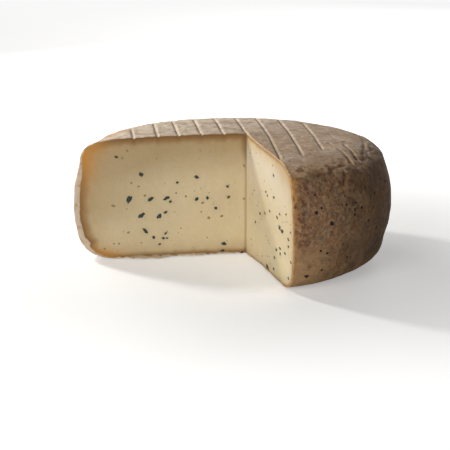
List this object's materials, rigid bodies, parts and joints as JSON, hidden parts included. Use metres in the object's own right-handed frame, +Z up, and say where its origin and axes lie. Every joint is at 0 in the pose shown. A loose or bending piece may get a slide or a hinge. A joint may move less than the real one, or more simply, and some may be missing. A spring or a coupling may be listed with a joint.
{
  "type": "cut cheese wheel",
  "caption": "Pressed cheese wheel with a grooved natural rind, its wedge cut out to show a pale flecked paste.",
  "frame": {"origin": "under the middle of the wheel's bounding box, on the surface it stands on", "axes": "+Z up through the wheel's thickness, +X across its full diameter, the removed wedge opening towards -X and -Y"},
  "size_m": [0.26, 0.252, 0.101],
  "materials": {
    "rind": "dry matte natural rind around a pale cream paste with dark flecks"
  },
  "bodies": {
    "root": {"cheese_wheel": "rind"}
  },
  "joints": []
}
